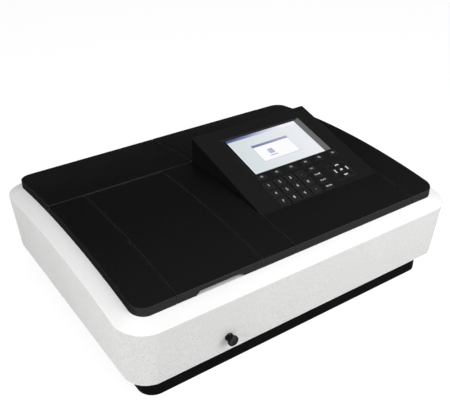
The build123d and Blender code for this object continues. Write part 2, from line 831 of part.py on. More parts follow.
def optical_bench():
    """The cast bench: a plate on legs with light-tight walls, a lamp bay, slits, mirror posts and pivot bosses."""
    area = (bench_left, bench_right, bench_front, bench_back)
    bench = block(*area, bench_bottom, bench_wall_top)
    w = bench_wall
    room = (bench_left + w, bench_right - w, bench_front + w, bench_back - w)
    bench -= block(*room, bench_top, bench_wall_top)
    bench += block(20, bench_right, lamp_wall_y - w / 2, lamp_wall_y + w / 2, bench_top, bench_wall_top)
    bench += block(20, 20 + w, lamp_wall_y, bench_back, bench_top, bench_wall_top)
    bench -= Pos(flip_place[0], lamp_wall_y, beam_z) * Box(2, 3 * w, light_slot[1])
    for y in (sample_y, reference_y):
        bench -= along_x(y, beam_z, bench_left - 1, bench_left + w + 1, beam_hole)
    for x, y in bench_leg_places():
        bench += upright(x, y, base_floor, bench_bottom, tub_leg_diameter)
    for x, y, turn, width in mirror_list():
        post = block(-post_thickness - mirror_thickness, -mirror_thickness, -width / 2, width / 2, bench_top, bench_top + mirror_high)
        bench += at_mirror(x, y, turn, post)
    for x, y in (turret_place, flip_place):
        bench += upright(x, y, bench_top, bench_top + 5, pivot_diameter + 8)
        bench -= upright(x, y, bench_top + 5 - pivot_depth, bench_top + 5, pivot_diameter + 2 * pin_gap)
    return bench


def bench_mirrors():
    """The fixed mirrors and the beam splitter, each seated on its post."""
    return [
        at_mirror(x, y, turn, block(-mirror_thickness, 0, -width / 2, width / 2, bench_top + 3, bench_top + mirror_high - 3))
        for x, y, turn, width in mirror_list()
    ]


def grating_turret():
    """The turntable that carries the grating and sets the wavelength."""
    x, y = turret_place
    seat = bench_top + 5 + slide_gap
    table = upright(x, y, seat, seat + 5, turret_diameter)
    table += upright(x, y, bench_top + 5 - pivot_depth + slide_gap, seat, pivot_diameter)
    carrier = block(-12, -4, -16, 16, seat + 5, seat + 28) + block(-4, 2, -14, 14, seat + 5, seat + 26)
    return table + Pos(x, y, 0) * Rot(0, 0, -60) * carrier


def source_mirror():
    """The flip mirror that picks one of the two lamps."""
    x, y = flip_place
    seat = bench_top + 5 + slide_gap
    mirror = upright(x, y, seat, seat + 4, 16)
    mirror += upright(x, y, bench_top + 5 - pivot_depth + slide_gap, seat, pivot_diameter)
    return mirror + Pos(x, y, 0) * Rot(0, 0, 225) * block(-3, 1, -12, 12, seat + 4, seat + 28)


def source_lamps():
    """The deuterium lamp and the smaller tungsten halogen lamp, each on its base."""
    lamps = []
    for x, y, diameter, height in ((126.0, 74.0, 30.0, 52.0), (46.0, 74.0, 14.0, 26.0)):
        base = upright(x, y, bench_top, bench_top + 8, diameter + 4)
        bulb = upright(x, y, bench_top + 8, bench_top + 8 + height, diameter)
        bulb = fillet(bulb.edges().sort_by(Axis.Z)[-1], diameter / 2 - 1)
        lamps.append(base + bulb)
    return lamps


def detectors():
    """The two photodiode housings on the compartment's left wall, and the amplifier board behind them."""
    wall = lid_middle - tub_half_width - tub_wall - lens_boss_out
    depth = 18
    parts = [along_x(y, beam_z, wall - depth, wall, lens_boss - 4) for y in (sample_y, reference_y)]
    board = block(wall - depth - board_thickness, wall - depth, sample_y - 24, reference_y + 24, beam_z - 22, beam_z + 22)
    return [*parts, board]


def main_board():
    """The main circuit board, with its chips, capacitors and the connectors along its rear edge."""
    x0, x1, y0, y1 = board_box
    top = board_z + board_thickness
    board = block(x0, x1, y0, y1 - 4, board_z, top)
    for x, y, wide, deep, high in ((-60, 140, 28, 28, 2), (-10, 150, 20, 20, 2), (40, 135, 16, 34, 2), (-100, 150, 22, 30, 8)):
        board += block(x - wide / 2, x + wide / 2, y - deep / 2, y + deep / 2, top, top + high)
    for x, y in ((55, 175), (55, 160), (-30, 175)):
        board += upright(x, y, top, top + 11, 9)
    for x, width, height in port_places():
        board += block(x - width / 2, x + width / 2, y1 - 18, recess_y - body_wall - slip, top, top + height)
        board += block(x - width / 2 + 6.8, x + width / 2 - 6.8, y1 - 6, recess_y + 3, top + 2.2, top + height - 2.2) if width > 20 else block(
            x - width / 2, x + width / 2, y1 - 6, recess_y + 1, top, top + height)
    return board


def power_supply():
    """The boxed power supply on the base's floor, with its air slots."""
    x0, x1, y0, y1 = supply_box
    supply = block(x0, x1, y0, y1, base_floor, base_floor + supply_height)
    middle = (x0 + x1) / 2
    for k in range(7):
        y = y0 + 30 + k * 20
        supply -= block(middle - 30, middle + 30, y, y + 6, base_floor + supply_height - 2, base_floor + supply_height)
    return supply


def fan_frame():
    """The cooling fan's square frame, with its motor hub on three struts."""
    back = recess_y - body_wall
    front = back - fan_depth
    half = fan_size / 2
    frame = block(fan_x - half, fan_x + half, front, back, fan_z - half, fan_z + half)
    frame = fillet(frame.edges().filter_by(Axis.Y), 4)
    frame -= along_y(fan_x, fan_z, front, back, fan_bore)
    for sx in (-1, 1):
        for sz in (-1, 1):
            frame -= along_y(fan_x + sx * 35.75, fan_z + sz * 35.75, front, back, 4.4)
    frame += along_y(fan_x, fan_z, front, front + 4, fan_hub)
    for k in range(3):
        strut = block(0, fan_bore / 2 + 1, front, front + 3, -2.5, 2.5)
        frame += Pos(fan_x, 0, fan_z) * Rot(0, 90 + k * 120, 0) * strut
    return frame + along_y(fan_x, fan_z, front + 4, front + 20, 4)


def fan_rotor():
    """The fan's rotor: a hub with pitched blades that clear the frame's bore."""
    front = recess_y - body_wall - fan_depth
    y0, y1 = front + 5, front + 22
    hub = along_y(fan_x, fan_z, y0, y1, fan_hub)
    reach = fan_bore / 2 - 1.2
    sweep_space = along_y(fan_x, fan_z, y0, y1, 2 * reach)
    rotor = hub
    for k in range(fan_blades):
        blade = Pos(reach / 2, (y0 + y1) / 2, 0) * Rot(48, 0, 0) * Box(reach, 22, 1.4)
        rotor += Pos(fan_x, 0, fan_z) * Rot(0, k * 360 / fan_blades, 0) * blade & sweep_space
    return rotor - along_y(fan_x, fan_z, y0 - 1, front + 20.5, 4 + 2 * pin_gap)


def mains_inlet():
    """The mains inlet module in the back: a flange, a socket with three pins and a window for the rocker."""
    width, height = inlet_size
    outside = recess_y + 2
    module = Pos(inlet_x, recess_y + 1, inlet_z) * Box(width, 2, height)
    inner = inlet_size[0] - 5, inlet_size[1] - 7
    depth = 24
    module += Pos(inlet_x, recess_y - depth / 2, inlet_z) * Box(inner[0], depth, inner[1])
    module -= block(
        inlet_x - socket_size[0] / 2 + 1, inlet_x + socket_size[0] / 2 - 1, outside - socket_depth, outside + 1,
        socket_z - socket_size[1] / 2, socket_z + socket_size[1] / 2,
    )
    for x, z in ((-7, -2), (7, -2), (0, 3)):
        module += Pos(inlet_x + x, outside - socket_depth / 2 - 1, socket_z + z) * Box(2, socket_depth - 2, 4)
    width, height = rocker_size
    module -= Pos(inlet_x, outside - 8, rocker_z) * Box(width + 2 * slip, 16.2, height + 2 * slip)
    for side in (-1, 1):
        x = inlet_x + side * (width / 2 + slip)
        module -= along_x(rocker_pivot_y(), rocker_z, x - 2, x + 2, 3 + 2 * pin_gap)
    return module


def rocker_pivot_y():
    """The depth of the rocker's pivot, inside the inlet's window."""
    return recess_y - 4


def mains_rocker():
    """The power switch's rocker, at rest in its off position, with a stub axle each side."""
    width, height = rocker_size
    pivot = rocker_pivot_y()
    reach = recess_y + 5 - pivot
    half = height / 2 - 1
    turn = math.radians(rocker_tilt)
    points = [(0, -half + 2), (-5, -3), (-5, 3), (0, half - 2), (reach - 2.4, half), (reach - 3.2, 0), (reach - 2.4, -half)]
    turned_points = [
        (pivot + y * math.cos(turn) - z * math.sin(turn), rocker_z + y * math.sin(turn) + z * math.cos(turn)) for y, z in points
    ]
    rocker = side_prism(turned_points, inlet_x - width / 2, inlet_x + width / 2)
    axle = width / 2 + slip + 1.6
    return rocker + along_x(pivot, rocker_z, inlet_x - axle, inlet_x + axle, 3)


def main():
    """Builds and writes every sub-part."""
    os.makedirs("parts", exist_ok=True)
    single = {
        "base_pan": base_pan(), "body_shell": body_shell(), "sample_lid": sample_lid(), "lid_hinge_rod": lid_hinge_rod(),
        "sample_tub": sample_tub(), "cell_carriage": cell_carriage(),
        "changer_rod": changer_rod(), "pull_knob": pull_knob(), "optical_bench": optical_bench(),
        "grating_turret": grating_turret(), "source_mirror": source_mirror(), "main_board": main_board(),
        "power_supply": power_supply(), "fan_frame": fan_frame(), "fan_rotor": fan_rotor(), "mains_inlet": mains_inlet(),
        "mains_rocker": mains_rocker(), "console_cover": console_cover(), "display_window": display_window(),
        "display_module": display_module(), "keypad_board": keypad_board(),
    }
    half_seam, half_slot = seam / 2, slot / 2
    back = back_seam_y + half_seam
    front = back_seam_y - half_seam
    single["rear_cover"] = plain_cover(-half_width, console_left_x - half_seam, back, half_depth)
    single["left_cover"] = plain_cover(-half_width, left_seam_x - half_seam, -half_depth, front)
    single["centre_cover"] = plain_cover(lid_right_x + half_seam, console_left_x - half_seam, -half_depth, front)
    single["right_cover"] = plain_cover(console_right_x + half_slot, half_width, -half_depth, half_depth)
    groups = {
        "compartment_fittings": [compartment_rim(), changer_rail(), reference_holder()],
        "rubber_feet": rubber_feet(), "case_screws": case_screws(), "beam_windows": beam_windows(), "rod_bush": rod_bush(),
        "bench_mirrors": bench_mirrors(), "source_lamps": source_lamps(), "detectors": detectors(),
    }
    for name, shape in {**single, **key_shapes()}.items():
        save(name, shape)
    for name, shapes in groups.items():
        save(name, *shapes)


main()
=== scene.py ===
# %% [markdown]
# # A bench spectrophotometer
# This lesson dresses a laboratory spectrophotometer. The instrument has a black arched top made of several moulded
# covers, a raised console with a screen and keys, a white body and a black base that is set in under it.
# Its rigid parts come from the CAD model, in metres and in their places. Here they get their finishes, and the small
# things that a draughtsman leaves out are modelled: the legends on the keys, the arcs on the arrow pad and the picture
# on the screen.

# %% Load the CAD model
import bpy, math
from mathutils import Matrix, Vector


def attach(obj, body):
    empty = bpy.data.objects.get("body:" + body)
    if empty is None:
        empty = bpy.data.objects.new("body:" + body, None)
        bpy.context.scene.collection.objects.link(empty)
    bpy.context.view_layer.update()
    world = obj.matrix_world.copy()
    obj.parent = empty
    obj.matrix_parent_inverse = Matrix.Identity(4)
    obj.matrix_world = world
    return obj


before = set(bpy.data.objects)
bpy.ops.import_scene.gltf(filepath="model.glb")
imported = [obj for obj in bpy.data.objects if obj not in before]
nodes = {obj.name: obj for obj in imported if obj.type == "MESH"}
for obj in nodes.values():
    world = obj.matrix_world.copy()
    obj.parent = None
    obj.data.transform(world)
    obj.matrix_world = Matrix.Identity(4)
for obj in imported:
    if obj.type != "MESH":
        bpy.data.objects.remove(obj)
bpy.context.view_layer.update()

# %% [markdown]
# ## The camera
# The photograph was taken from the front left and from above. Its lens and place were worked out from the straight
# edges of the top, so the instrument falls on the same pixels here. The picture is 450 pixels wide, and one pixel is
# a little more than a millimetre at the instrument.

# %% Camera
FOCAL_PIXELS = 678.52
PICTURE_WIDTH = 450
SENSOR_WIDTH = 36.0
YAW, PITCH = 0.60267, 0.54320
CAMERA_PLACE = (-0.55915, -0.81017, 0.72392)
camera_data = bpy.data.cameras.new("camera")
camera_data.sensor_fit = "HORIZONTAL"
camera_data.sensor_width = SENSOR_WIDTH
camera_data.lens = FOCAL_PIXELS * SENSOR_WIDTH / PICTURE_WIDTH
camera_data.clip_start = 0.05
camera = bpy.data.objects.new("camera", camera_data)
bpy.context.scene.collection.objects.link(camera)
camera.location = CAMERA_PLACE
camera.rotation_euler = (math.pi / 2 - PITCH, 0, -YAW)
bpy.context.scene.camera = camera
bpy.context.scene.view_settings.view_transform = "Standard"
print("lens", round(camera_data.lens, 2), "mm")

# %% [markdown]
# ## The instrument's own measures
# Loose pieces are placed by the same measures as the CAD model. The console's panel has a frame of its own, whose
# origin is on the crease at the foot of the slope: X runs across it, Y climbs the slope, and Z is its normal. The
# body's middle lies a little behind the origin, because the origin is the middle of the body and its knob together.

# %% Measures
MM = 0.001
BODY_SHIFT = 3.7956
PANEL_TIP = Vector((0, -131.0 + BODY_SHIFT, 173.0497)) * MM
PANEL_SLOPE = math.radians(14.57163)
PANEL = Matrix.Translation(PANEL_TIP) @ Matrix.Rotation(PANEL_SLOPE, 4, "X")
print("panel normal", PANEL.to_3x3() @ Vector((0, 0, 1)))

# %% [markdown]
# ## Shader groups
# An effect that several finishes share is built once as a node group. Moulded plastic and sprayed paint both have a
# fine grain, so the first group gives a height for bump and a mask for small changes of tone. The second gives broad
# soft patches, for the uneven gloss that hands and cleaning leave. The third finds edges by comparing the rounded
# normal with the true one, for a painted highlight along the edges. It also tells how far a face looks forward, and
# whether it looks up, so that such faces can be painted lighter: painted light, where they face a lamp.

# %% Helpers for node trees
def new_group(name, inputs, outputs):
    group = bpy.data.node_groups.new(name, "ShaderNodeTree")
    for label, value in inputs.items():
        socket = group.interface.new_socket(label, in_out="INPUT", socket_type="NodeSocketFloat")
        socket.default_value = value
    for label in outputs:
        group.interface.new_socket(label, in_out="OUTPUT", socket_type="NodeSocketFloat")
    start = group.nodes.new("NodeGroupInput")
    end = group.nodes.new("NodeGroupOutput")
    return group, start, end


def math_node(tree, operation, a, b=None, clamp=False):
    node = tree.nodes.new("ShaderNodeMath")
    node.operation = operation
    node.use_clamp = clamp
    for socket, value in zip(node.inputs, (a, b)):
        if value is None:
            continue
        if isinstance(value, (int, float)):
            socket.default_value = value
        else:
            tree.links.new(value, socket)
    return node.outputs[0]


def object_axes(tree):
    """The X, Y and Z of each point, in the instrument's own coordinates."""
    coordinates = tree.nodes.new("ShaderNodeTexCoord")
    axes = tree.nodes.new("ShaderNodeSeparateXYZ")
    tree.links.new(coordinates.outputs["Object"], axes.inputs["Vector"])
    return axes.outputs


# %% Grain group
grain_group, start, end = new_group("Grain", {"Scale": 900.0, "Speck": 0.5}, ["Height", "Speckle"])
coordinates = grain_group.nodes.new("ShaderNodeTexCoord")
fine = grain_group.nodes.new("ShaderNodeTexNoise")
fine.inputs["Detail"].default_value = 3.0
fine.inputs["Roughness"].default_value = 0.6
grain_group.links.new(coordinates.outputs["Object"], fine.inputs["Vector"])
grain_group.links.new(start.outputs["Scale"], fine.inputs["Scale"])
cells = grain_group.nodes.new("ShaderNodeTexVoronoi")
grain_group.links.new(coordinates.outputs["Object"], cells.inputs["Vector"])
grain_group.links.new(math_node(grain_group, "MULTIPLY", start.outputs["Scale"], 0.6), cells.inputs["Scale"])
split = grain_group.nodes.new("ShaderNodeSeparateColor")
grain_group.links.new(cells.outputs["Color"], split.inputs["Color"])
speck = math_node(grain_group, "GREATER_THAN", split.outputs["Red"], start.outputs["Speck"])
grain_group.links.new(math_node(grain_group, "MULTIPLY", speck, split.outputs["Green"]), end.inputs["Speckle"])
grain_group.links.new(fine.outputs["Fac"], end.inputs["Height"])
print("group", grain_group.name)

# %% Patches group
patch_group, start, end = new_group("Patches", {"Scale": 9.0, "Low": 0.4, "High": 0.7}, ["Mask"])
coordinates = patch_group.nodes.new("ShaderNodeTexCoord")
broad = patch_group.nodes.new("ShaderNodeTexNoise")
broad.inputs["Detail"].default_value = 5.0
broad.inputs["Roughness"].default_value = 0.62
patch_group.links.new(coordinates.outputs["Object"], broad.inputs["Vector"])
patch_group.links.new(start.outputs["Scale"], broad.inputs["Scale"])
remap = patch_group.nodes.new("ShaderNodeMapRange")
patch_group.links.new(broad.outputs["Fac"], remap.inputs["Value"])
patch_group.links.new(start.outputs["Low"], remap.inputs["From Min"])
patch_group.links.new(start.outputs["High"], remap.inputs["From Max"])
patch_group.links.new(remap.outputs["Result"], end.inputs["Mask"])
print("group", patch_group.name)

# %% Edge group
edge_light_group, start, end = new_group("Edges", {"Radius": 0.0008, "Gain": 6.0}, ["Mask", "Front light", "Top"])
# The Mask marks the edges for a painted highlight.
rounded = edge_light_group.nodes.new("ShaderNodeBevel")
rounded.samples = 4
edge_light_group.links.new(start.outputs["Radius"], rounded.inputs["Radius"])
shape = edge_light_group.nodes.new("ShaderNodeNewGeometry")
dot = edge_light_group.nodes.new("ShaderNodeVectorMath")
dot.operation = "DOT_PRODUCT"
edge_light_group.links.new(rounded.outputs["Normal"], dot.inputs[0])
edge_light_group.links.new(shape.outputs["Normal"], dot.inputs[1])
away = math_node(edge_light_group, "SUBTRACT", 1.0, dot.outputs["Value"], clamp=True)
edge_light_group.links.new(math_node(edge_light_group, "MULTIPLY", away, start.outputs["Gain"], clamp=True), end.inputs["Mask"])
# Front light and Top light are painted light: they mark faces that look forward or up, so a finish can paint them
# lighter.
FRONT_LIGHT_GAIN = 1.4
LEAST_TOP_LIGHT_Z = 0.5
facing = edge_light_group.nodes.new("ShaderNodeSeparateXYZ")
edge_light_group.links.new(shape.outputs["Normal"], facing.inputs["Vector"])
forward = math_node(edge_light_group, "MULTIPLY", facing.outputs["Y"], -FRONT_LIGHT_GAIN)
edge_light_group.links.new(math_node(edge_light_group, "MAXIMUM", forward, 0.0), end.inputs["Front light"])
edge_light_group.links.new(math_node(edge_light_group, "GREATER_THAN", facing.outputs["Z"], LEAST_TOP_LIGHT_Z), end.inputs["Top"])
print("group", edge_light_group.name)

# %% [markdown]
# ## A finish from the groups
# Most finishes here differ only in their values: a base colour, a second tone for specks or patches, how rough they
# are and how deep their grain is. One helper wires the groups to a Principled shader, and the shader itself stays in
# each material, so that every finish can be read and changed by itself.

# %% The helper for finishes
def use_group(tree, group, **values):
    node = tree.nodes.new("ShaderNodeGroup")
    node.node_tree = group
    for label, value in values.items():
        node.inputs[label].default_value = value
    return node


def mix_colours(tree, fac, a, b):
    node = tree.nodes.new("ShaderNodeMix")
    node.data_type = "RGBA"
    tree.links.new(fac, node.inputs["Factor"])
    for socket, value in ((node.inputs[6], a), (node.inputs[7], b)):
        if isinstance(value, tuple):
            socket.default_value = (*value, 1.0)
        else:
            tree.links.new(value, socket)
    return node.outputs[2]


def finish_from(name, colour, second, patch=None, roughness=(0.5, 0.6), grain=900.0, speck=0.5, bump=0.05,
                depth=0.0002, edge=None, edge_radius=0.0008, front=None, top=None, **sockets):
    material = bpy.data.materials.new(name)
    material.use_nodes = True
    tree = material.node_tree
    shader = tree.nodes["Principled BSDF"]
    grains = use_group(tree, grain_group, Scale=grain, Speck=speck)
    patches = use_group(tree, patch_group)
    tone = mix_colours(tree, grains.outputs["Speckle"], colour, second)
    if patch:
        tone = mix_colours(tree, patches.outputs["Mask"], tone, patch)
    # Painted light: the edge tone is a painted highlight along edges, and the top and front tones paint faces that look
    # up or forward lighter.
    if edge:
        edges = use_group(tree, edge_light_group, Radius=edge_radius)
        if top:
            tone = mix_colours(tree, edges.outputs["Top"], tone, top)
        if front:
            tone = mix_colours(tree, edges.outputs["Front light"], tone, front)
        tone = mix_colours(tree, edges.outputs["Mask"], tone, edge)
    tree.links.new(tone, shader.inputs["Base Color"])
    gloss = tree.nodes.new("ShaderNodeMapRange")
    gloss.inputs["To Min"].default_value, gloss.inputs["To Max"].default_value = roughness
    tree.links.new(patches.outputs["Mask"], gloss.inputs["Value"])
    tree.links.new(gloss.outputs["Result"], shader.inputs["Roughness"])
    relief = tree.nodes.new("ShaderNodeBump")
    relief.inputs["Strength"].default_value = bump
    relief.inputs["Distance"].default_value = depth
    tree.links.new(grains.outputs["Height"], relief.inputs["Height"])
    tree.links.new(relief.outputs["Normal"], shader.inputs["Normal"])
    for label, value in sockets.items():
        shader.inputs[label.replace("_", " ")].default_value = value
    return material


# %% [markdown]
# ## The finishes
# The top is black plastic with a very fine matt grain; the shine at its edges is a painted highlight, and its faces
# that look forward are painted lighter, as painted light. The body is white with a pebbled, faintly speckled skin, with
# painted highlights on its edges and painted light on its faces that look up. The base is black paint. Bright metal is
# kept for the rods, screws and connectors.

# %% Black plastics and paints
# In each black finish the edge tone is a painted highlight along the edges. The cover's front tone is painted light on
# faces that look forward, such as the front lip.
cover_black = finish_from("cover black", (0.0040, 0.0040, 0.0042), (0.0078, 0.0078, 0.0082),
                          patch=(0.0046, 0.0046, 0.0048), roughness=(0.42, 0.55), grain=1400.0, bump=0.12,
                          edge=(0.075, 0.075, 0.078), edge_radius=0.0009, front=(0.020, 0.020, 0.021),
                          Specular_IOR_Level=0.003)
base_black = finish_from("base black", (0.0026, 0.0026, 0.0026), (0.0042, 0.0042, 0.0042), roughness=(0.5, 0.65),
                         grain=1100.0, bump=0.15, edge=(0.02, 0.02, 0.02), Specular_IOR_Level=0.01)
knob_black = finish_from("knob black", (0.004, 0.004, 0.004), (0.006, 0.006, 0.006), roughness=(0.12, 0.22),
                         grain=800.0, bump=0.02, Specular_IOR_Level=0.1)
key_black = finish_from("key black", (0.012, 0.012, 0.0125), (0.018, 0.018, 0.0185), roughness=(0.38, 0.5),
                        grain=1600.0, bump=0.08, edge=(0.06, 0.06, 0.062), edge_radius=0.0006,
                        Specular_IOR_Level=0.012)
rubber_black = finish_from("rubber", (0.015, 0.015, 0.015), (0.022, 0.022, 0.022), roughness=(0.75, 0.85), grain=700.0,
                           bump=0.3, Specular_IOR_Level=0.3)
plain_black = finish_from("matt black", (0.012, 0.012, 0.012), (0.018, 0.018, 0.018), roughness=(0.6, 0.75),
                          grain=900.0, bump=0.2, edge=(0.04, 0.04, 0.04), edge_radius=0.0005,
                          Specular_IOR_Level=0.2)
print("black finishes made")

# %% White body, metals and boards
# The body's edge tone is a painted highlight on its rounded edges, and its top tone is painted light on faces that look
# up, such as the bevel.
body_white = finish_from("body white", (0.52, 0.52, 0.515), (0.38, 0.38, 0.375), patch=(0.475, 0.475, 0.47),
                         roughness=(0.45, 0.6), grain=1500.0, speck=0.5, bump=0.25, depth=0.0002,
                         edge=(0.78, 0.78, 0.775), edge_radius=0.002, top=(0.69, 0.69, 0.685),
                         Specular_IOR_Level=0.15)
steel = finish_from("ground steel", (0.60, 0.60, 0.60), (0.52, 0.52, 0.52), roughness=(0.22, 0.32), grain=1500.0,
                    bump=0.05, Metallic=1.0)
cast_grey = finish_from("cast aluminium", (0.42, 0.42, 0.43), (0.33, 0.33, 0.34), roughness=(0.5, 0.65), grain=500.0,
                        bump=0.5, depth=0.0004, Metallic=1.0)
tin_plate = finish_from("plated sheet", (0.55, 0.56, 0.56), (0.46, 0.47, 0.48), roughness=(0.3, 0.45), grain=300.0,
                        bump=0.06, Metallic=1.0)
nickel = finish_from("nickel", (0.62, 0.60, 0.56), (0.54, 0.52, 0.5), roughness=(0.2, 0.3), grain=1200.0, bump=0.04,
                     Metallic=1.0)
board_green = finish_from("solder mask", (0.012, 0.10, 0.045), (0.02, 0.14, 0.06), roughness=(0.3, 0.4), grain=260.0,
                          speck=0.8, bump=0.08, Coat_Weight=0.3)
mirror = finish_from("first surface mirror", (0.92, 0.92, 0.92), (0.9, 0.9, 0.9), roughness=(0.02, 0.04), grain=300.0,
                     bump=0.0, Metallic=1.0)
glass = finish_from("clear glass", (0.97, 0.99, 1.0), (0.96, 0.98, 1.0), roughness=(0.0, 0.03), grain=200.0, bump=0.0,
                    Transmission_Weight=1.0, IOR=1.46)
window_clear = finish_from("screen window", (1.0, 1.0, 1.0), (1.0, 1.0, 1.0), roughness=(0.0, 0.02), grain=200.0,
                           bump=0.0, Transmission_Weight=1.0, IOR=1.2)
display_grey = finish_from("display frame", (0.05, 0.052, 0.06), (0.06, 0.062, 0.07), roughness=(0.4, 0.5),
                           grain=900.0, bump=0.05)
print("finishes made:", len(bpy.data.materials))

# %% [markdown]
# ## Two nodes of mixed materials
# Two CAD nodes hold pieces of more than one material, and where a point lies tells which it is made of. On the main
# board, height parts the green board from what is soldered on it, and depth parts the black chips from the plated
# connectors along the rear edge. In the sample compartment, the rim and the reference cell's holder are matt black,
# and the changer's rail, which lies low and towards the front, is ground steel.

# %% Main board
BOARD_TOP = 61.7
CONNECTORS_FROM_Y = 200.0
main_board_finish = board_green.copy()
main_board_finish.name = "main board"
tree = main_board_finish.node_tree
shader = tree.nodes["Principled BSDF"]
axes = object_axes(tree)
soldered = math_node(tree, "GREATER_THAN", axes["Z"], BOARD_TOP * MM)
plated = math_node(tree, "GREATER_THAN", axes["Y"], CONNECTORS_FROM_Y * MM)
green = shader.inputs["Base Color"].links[0].from_socket
parts_tone = mix_colours(tree, plated, (0.012, 0.012, 0.013), (0.55, 0.56, 0.56))
tree.links.new(mix_colours(tree, soldered, green, parts_tone), shader.inputs["Base Color"])
tree.links.new(math_node(tree, "MULTIPLY", soldered, plated), shader.inputs["Metallic"])
print("finish", main_board_finish.name)

# %% Compartment fittings
RAIL_TOP = 66.5
RAIL_END_Y = 8.0
fittings_finish = plain_black.copy()
fittings_finish.name = "compartment fittings"
tree = fittings_finish.node_tree
shader = tree.nodes["Principled BSDF"]
axes = object_axes(tree)
low = math_node(tree, "LESS_THAN", axes["Z"], RAIL_TOP * MM)
ahead = math_node(tree, "LESS_THAN", axes["Y"], RAIL_END_Y * MM)
rail = math_node(tree, "MULTIPLY", low, ahead)
black = shader.inputs["Base Color"].links[0].from_socket
tree.links.new(mix_colours(tree, rail, black, (0.58, 0.58, 0.58)), shader.inputs["Base Color"])
tree.links.new(rail, shader.inputs["Metallic"])
print("finish", fittings_finish.name)

# %% [markdown]
# ## Dress the CAD nodes
# Every node gets one finish by its name. The keys aren't in the table, because all of them share the key black.

# %% Give every CAD node its finish
finish_of = {
    "base_pan": base_black, "body_shell": body_white, "rubber_feet": rubber_black, "case_screws": steel,
    "left_cover": cover_black, "centre_cover": cover_black, "rear_cover": cover_black, "right_cover": cover_black,
    "console_cover": cover_black, "sample_lid": cover_black, "lid_hinge_rod": steel,
    "sample_tub": plain_black, "compartment_fittings": fittings_finish, "beam_windows": glass,
    "cell_carriage": plain_black, "changer_rod": steel, "pull_knob": knob_black, "rod_bush": knob_black,
    "optical_bench": cast_grey, "bench_mirrors": mirror, "grating_turret": plain_black, "source_mirror": plain_black,
    "source_lamps": glass, "detectors": tin_plate, "main_board": main_board_finish, "keypad_board": board_green,
    "power_supply": tin_plate, "fan_frame": plain_black, "fan_rotor": plain_black, "mains_inlet": plain_black,
    "mains_rocker": knob_black, "display_window": window_clear, "display_module": display_grey,
}
for name, node in nodes.items():
    material = finish_of.get(name, key_black)
    for slot in node.material_slots:
        slot.material = material
    if not node.material_slots:
        node.data.materials.append(material)
print("dressed", len(nodes), "nodes")

# %% [markdown]
# ## Modelling helpers
# Every new piece is modelled with the same operators that a person would use in the window. An operator acts on all
# that is selected, so each piece starts with nothing selected. A finished piece keeps its place in its mesh, with its
# own origin at the scene's origin, as the CAD nodes do.

# %% Helpers for new pieces
def nothing_selected():
    if bpy.context.object and bpy.context.object.mode != "OBJECT":
        bpy.ops.object.mode_set(mode="OBJECT")
    bpy.ops.object.select_all(action="DESELECT")


def settle(piece, place, body, finish, name):
    """Puts a modelled piece in its place, gives it its finish and makes it ride on a body."""
    nothing_selected()
    piece.select_set(True)
    bpy.context.view_layer.objects.active = piece
    piece.matrix_world = place @ piece.matrix_world
    bpy.ops.object.transform_apply(location=True, rotation=True, scale=True)
    piece.name = name
    piece.data.materials.clear()
    piece.data.materials.append(finish)
    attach(piece, body)
    return piece


def join(pieces):
    nothing_selected()
    for piece in pieces:
        piece.select_set(True)
    bpy.context.view_layer.objects.active = pieces[0]
    bpy.ops.object.join()
    return pieces[0]


def plate(width, depth, height, corner, x=0.0, y=0.0, z=0.0):
    """A thin plate with rounded corners, its middle at x, y and its underside at z, in millimetres."""
    nothing_selected()
    bpy.ops.mesh.primitive_cube_add(size=1, location=(x * MM, y * MM, (z + height / 2) * MM))
    piece = bpy.context.object
    piece.scale = (width * MM, depth * MM, height * MM)
    bpy.ops.object.transform_apply(location=False, rotation=False, scale=True)
    bpy.ops.object.mode_set(mode="EDIT")
    bpy.ops.mesh.select_all(action="DESELECT")
    bpy.ops.object.mode_set(mode="OBJECT")
    for edge in piece.data.edges:
        a, b = (piece.data.vertices[v].co for v in edge.vertices)
        edge.select = abs(a.z - b.z) > height * MM / 2  # only the four upright edges
    bpy.ops.object.mode_set(mode="EDIT")
    bpy.ops.mesh.select_mode(type="EDGE")
    bpy.ops.mesh.bevel(offset=corner * MM, segments=4, affect="EDGES")
    bpy.ops.object.mode_set(mode="OBJECT")
    return piece


# %% [markdown]
# ## The legends on the keys
# The keys carry small white legends, printed on their tops. Text is the quickest way to model them: Blender's own
# font is flat, so it gets a few hundredths of a millimetre of thickness, is made a mesh, and is laid on the key.
# The legends are plain ones that any such keypad has: numbers, F keys and a few short words.

# %% Legend finish and helper
legend_white = finish_from("legend white", (0.62, 0.62, 0.63), (0.55, 0.55, 0.56), roughness=(0.45, 0.55), grain=900.0,
                           bump=0.02)
KEY_TOP = 2.6
PRINT_LIFT = 0.01
PRINT_DEPTH = 0.02


def print_legend(words, size, key, x, y):
    nothing_selected()
    bpy.ops.object.text_add()
    text = bpy.context.object
    text.data.body = words
    text.data.size = size * MM
    text.data.align_x, text.data.align_y = "CENTER", "CENTER"
    text.data.resolution_u = 3
    text.data.extrude = PRINT_DEPTH * MM
    bpy.ops.object.convert(target="MESH")
    place = PANEL @ Matrix.Translation((x * MM, y * MM, (KEY_TOP + PRINT_LIFT) * MM))
    return settle(bpy.context.object, place, key, legend_white, "legend_" + key)


# %% Number, function and side legends
NUMBER_X, NUMBER_Y, NUMBER_PITCH_X, NUMBER_PITCH_Y = 28.4, 10.9, 22.0, 19.7
NUMBER_COLUMNS, NUMBER_ROWS = 4, 3
FUNCTION_X, FUNCTION_Y, FUNCTION_PITCH = 30.2, 71.8, 30.4
SIDE_X, SIDE_Y, SIDE_PITCH = 120.6, 7.9, 15.3
NUMBER_SIZE, FUNCTION_SIZE, SIDE_SIZE = 7.5, 5.2, 4.0

